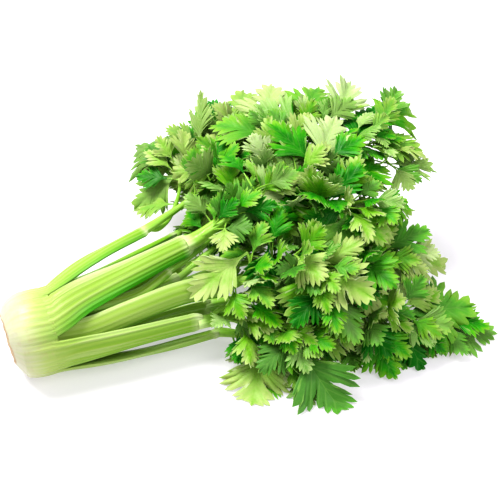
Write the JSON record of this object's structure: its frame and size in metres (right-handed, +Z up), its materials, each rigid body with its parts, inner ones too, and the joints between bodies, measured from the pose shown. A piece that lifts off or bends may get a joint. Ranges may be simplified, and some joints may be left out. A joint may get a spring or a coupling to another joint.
{
  "type": "head of celery",
  "caption": "Whole head of celery lying on its side, with a cut cream butt, ribbed pale green stalks and a broad fan of toothed green leaves.",
  "frame": {"origin": "middle of the small flat under the butt, where the head rests on the surface", "axes": "+X from the cut butt to the leaves, +Z up as the head lies, -Y towards the side that is seen"},
  "size_m": [0.4977, 0.4122, 0.1823],
  "materials": {
    "butt": "satin, cream, with a dry tan cut face",
    "stalk": "moist gloss, pale yellow-green, ribbed",
    "leaf": "satin, mid green above and grey-green below"
  },
  "bodies": {
    "root": {"butt": "butt", "stalk_outer_1": "stalk", "stalk_outer_2": "stalk", "stalk_outer_3": "stalk", "stalk_outer_4": "stalk", "stalk_outer_5": "stalk", "stalk_outer_6": "stalk", "stalk_outer_7": "stalk", "stalk_inner_1": "stalk", "stalk_inner_2": "stalk", "stalk_inner_3": "stalk", "stalk_inner_4": "stalk", "stalk_inner_5": "stalk", "stalk_heart": "stalk", "foliage_outer_1": "leaf", "foliage_outer_2": "leaf", "foliage_outer_3": "leaf", "foliage_outer_4": "leaf", "foliage_outer_5": "leaf", "foliage_outer_6": "leaf", "foliage_outer_7": "leaf", "foliage_inner_1": "leaf", "foliage_inner_2": "leaf", "foliage_inner_3": "leaf", "foliage_inner_4": "leaf", "foliage_inner_5": "leaf", "foliage_heart": "leaf"}
  },
  "joints": []
}
